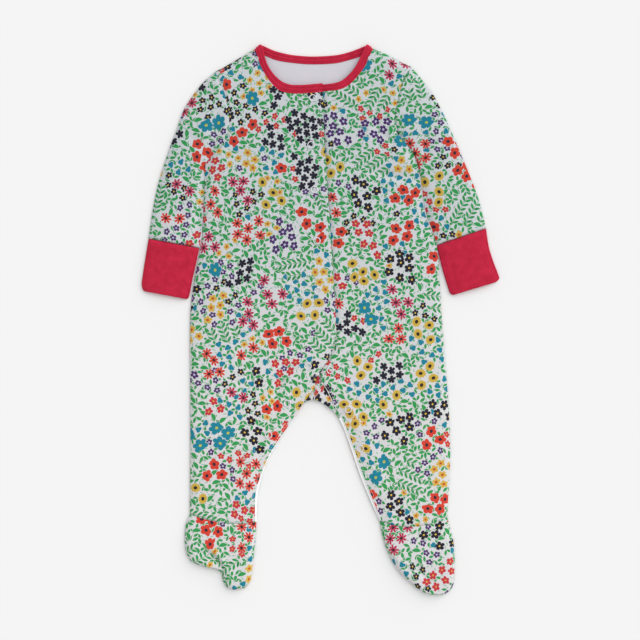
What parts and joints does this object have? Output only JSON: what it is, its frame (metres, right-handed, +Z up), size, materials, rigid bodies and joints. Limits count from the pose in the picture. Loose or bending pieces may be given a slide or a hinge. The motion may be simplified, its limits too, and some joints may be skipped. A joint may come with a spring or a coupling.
{
  "type": "footed baby sleepsuit",
  "caption": "Footed baby sleepsuit laid flat on its back, printed cotton with plain rib cuffs and neck binding, a lapped popper front and poppers along the inner legs.",
  "frame": {"origin": "middle of the garment's bounding box, on the surface that it lies on", "axes": "+X towards the wearer's left, +Y from the feet to the neck, +Z up from the surface, out of the garment's front"},
  "size_m": [0.3892, 0.599, 0.0079],
  "materials": {
    "printed_jersey": "matt cotton interlock with a small flower print on off-white",
    "raspberry_rib": "matt cotton rib, plain raspberry",
    "white_popper": "satin white enamel"
  },
  "bodies": {
    "root": {"back_panel": "printed_jersey", "front_panel_right": "printed_jersey", "front_panel_left": "printed_jersey", "leg_band": "printed_jersey", "sleeve_right": "printed_jersey", "sleeve_left": "printed_jersey", "foot_upper_right": "printed_jersey", "foot_upper_left": "printed_jersey", "foot_sole_right": "printed_jersey", "foot_sole_left": "printed_jersey", "cuff_right": "raspberry_rib", "cuff_left": "raspberry_rib", "neck_binding": "raspberry_rib", "popper_01": "white_popper", "popper_02": "white_popper", "popper_03": "white_popper", "popper_04": "white_popper", "popper_05": "white_popper", "popper_06": "white_popper", "popper_07": "white_popper", "popper_08": "white_popper", "popper_09": "white_popper", "popper_10": "white_popper", "popper_11": "white_popper"}
  },
  "joints": []
}
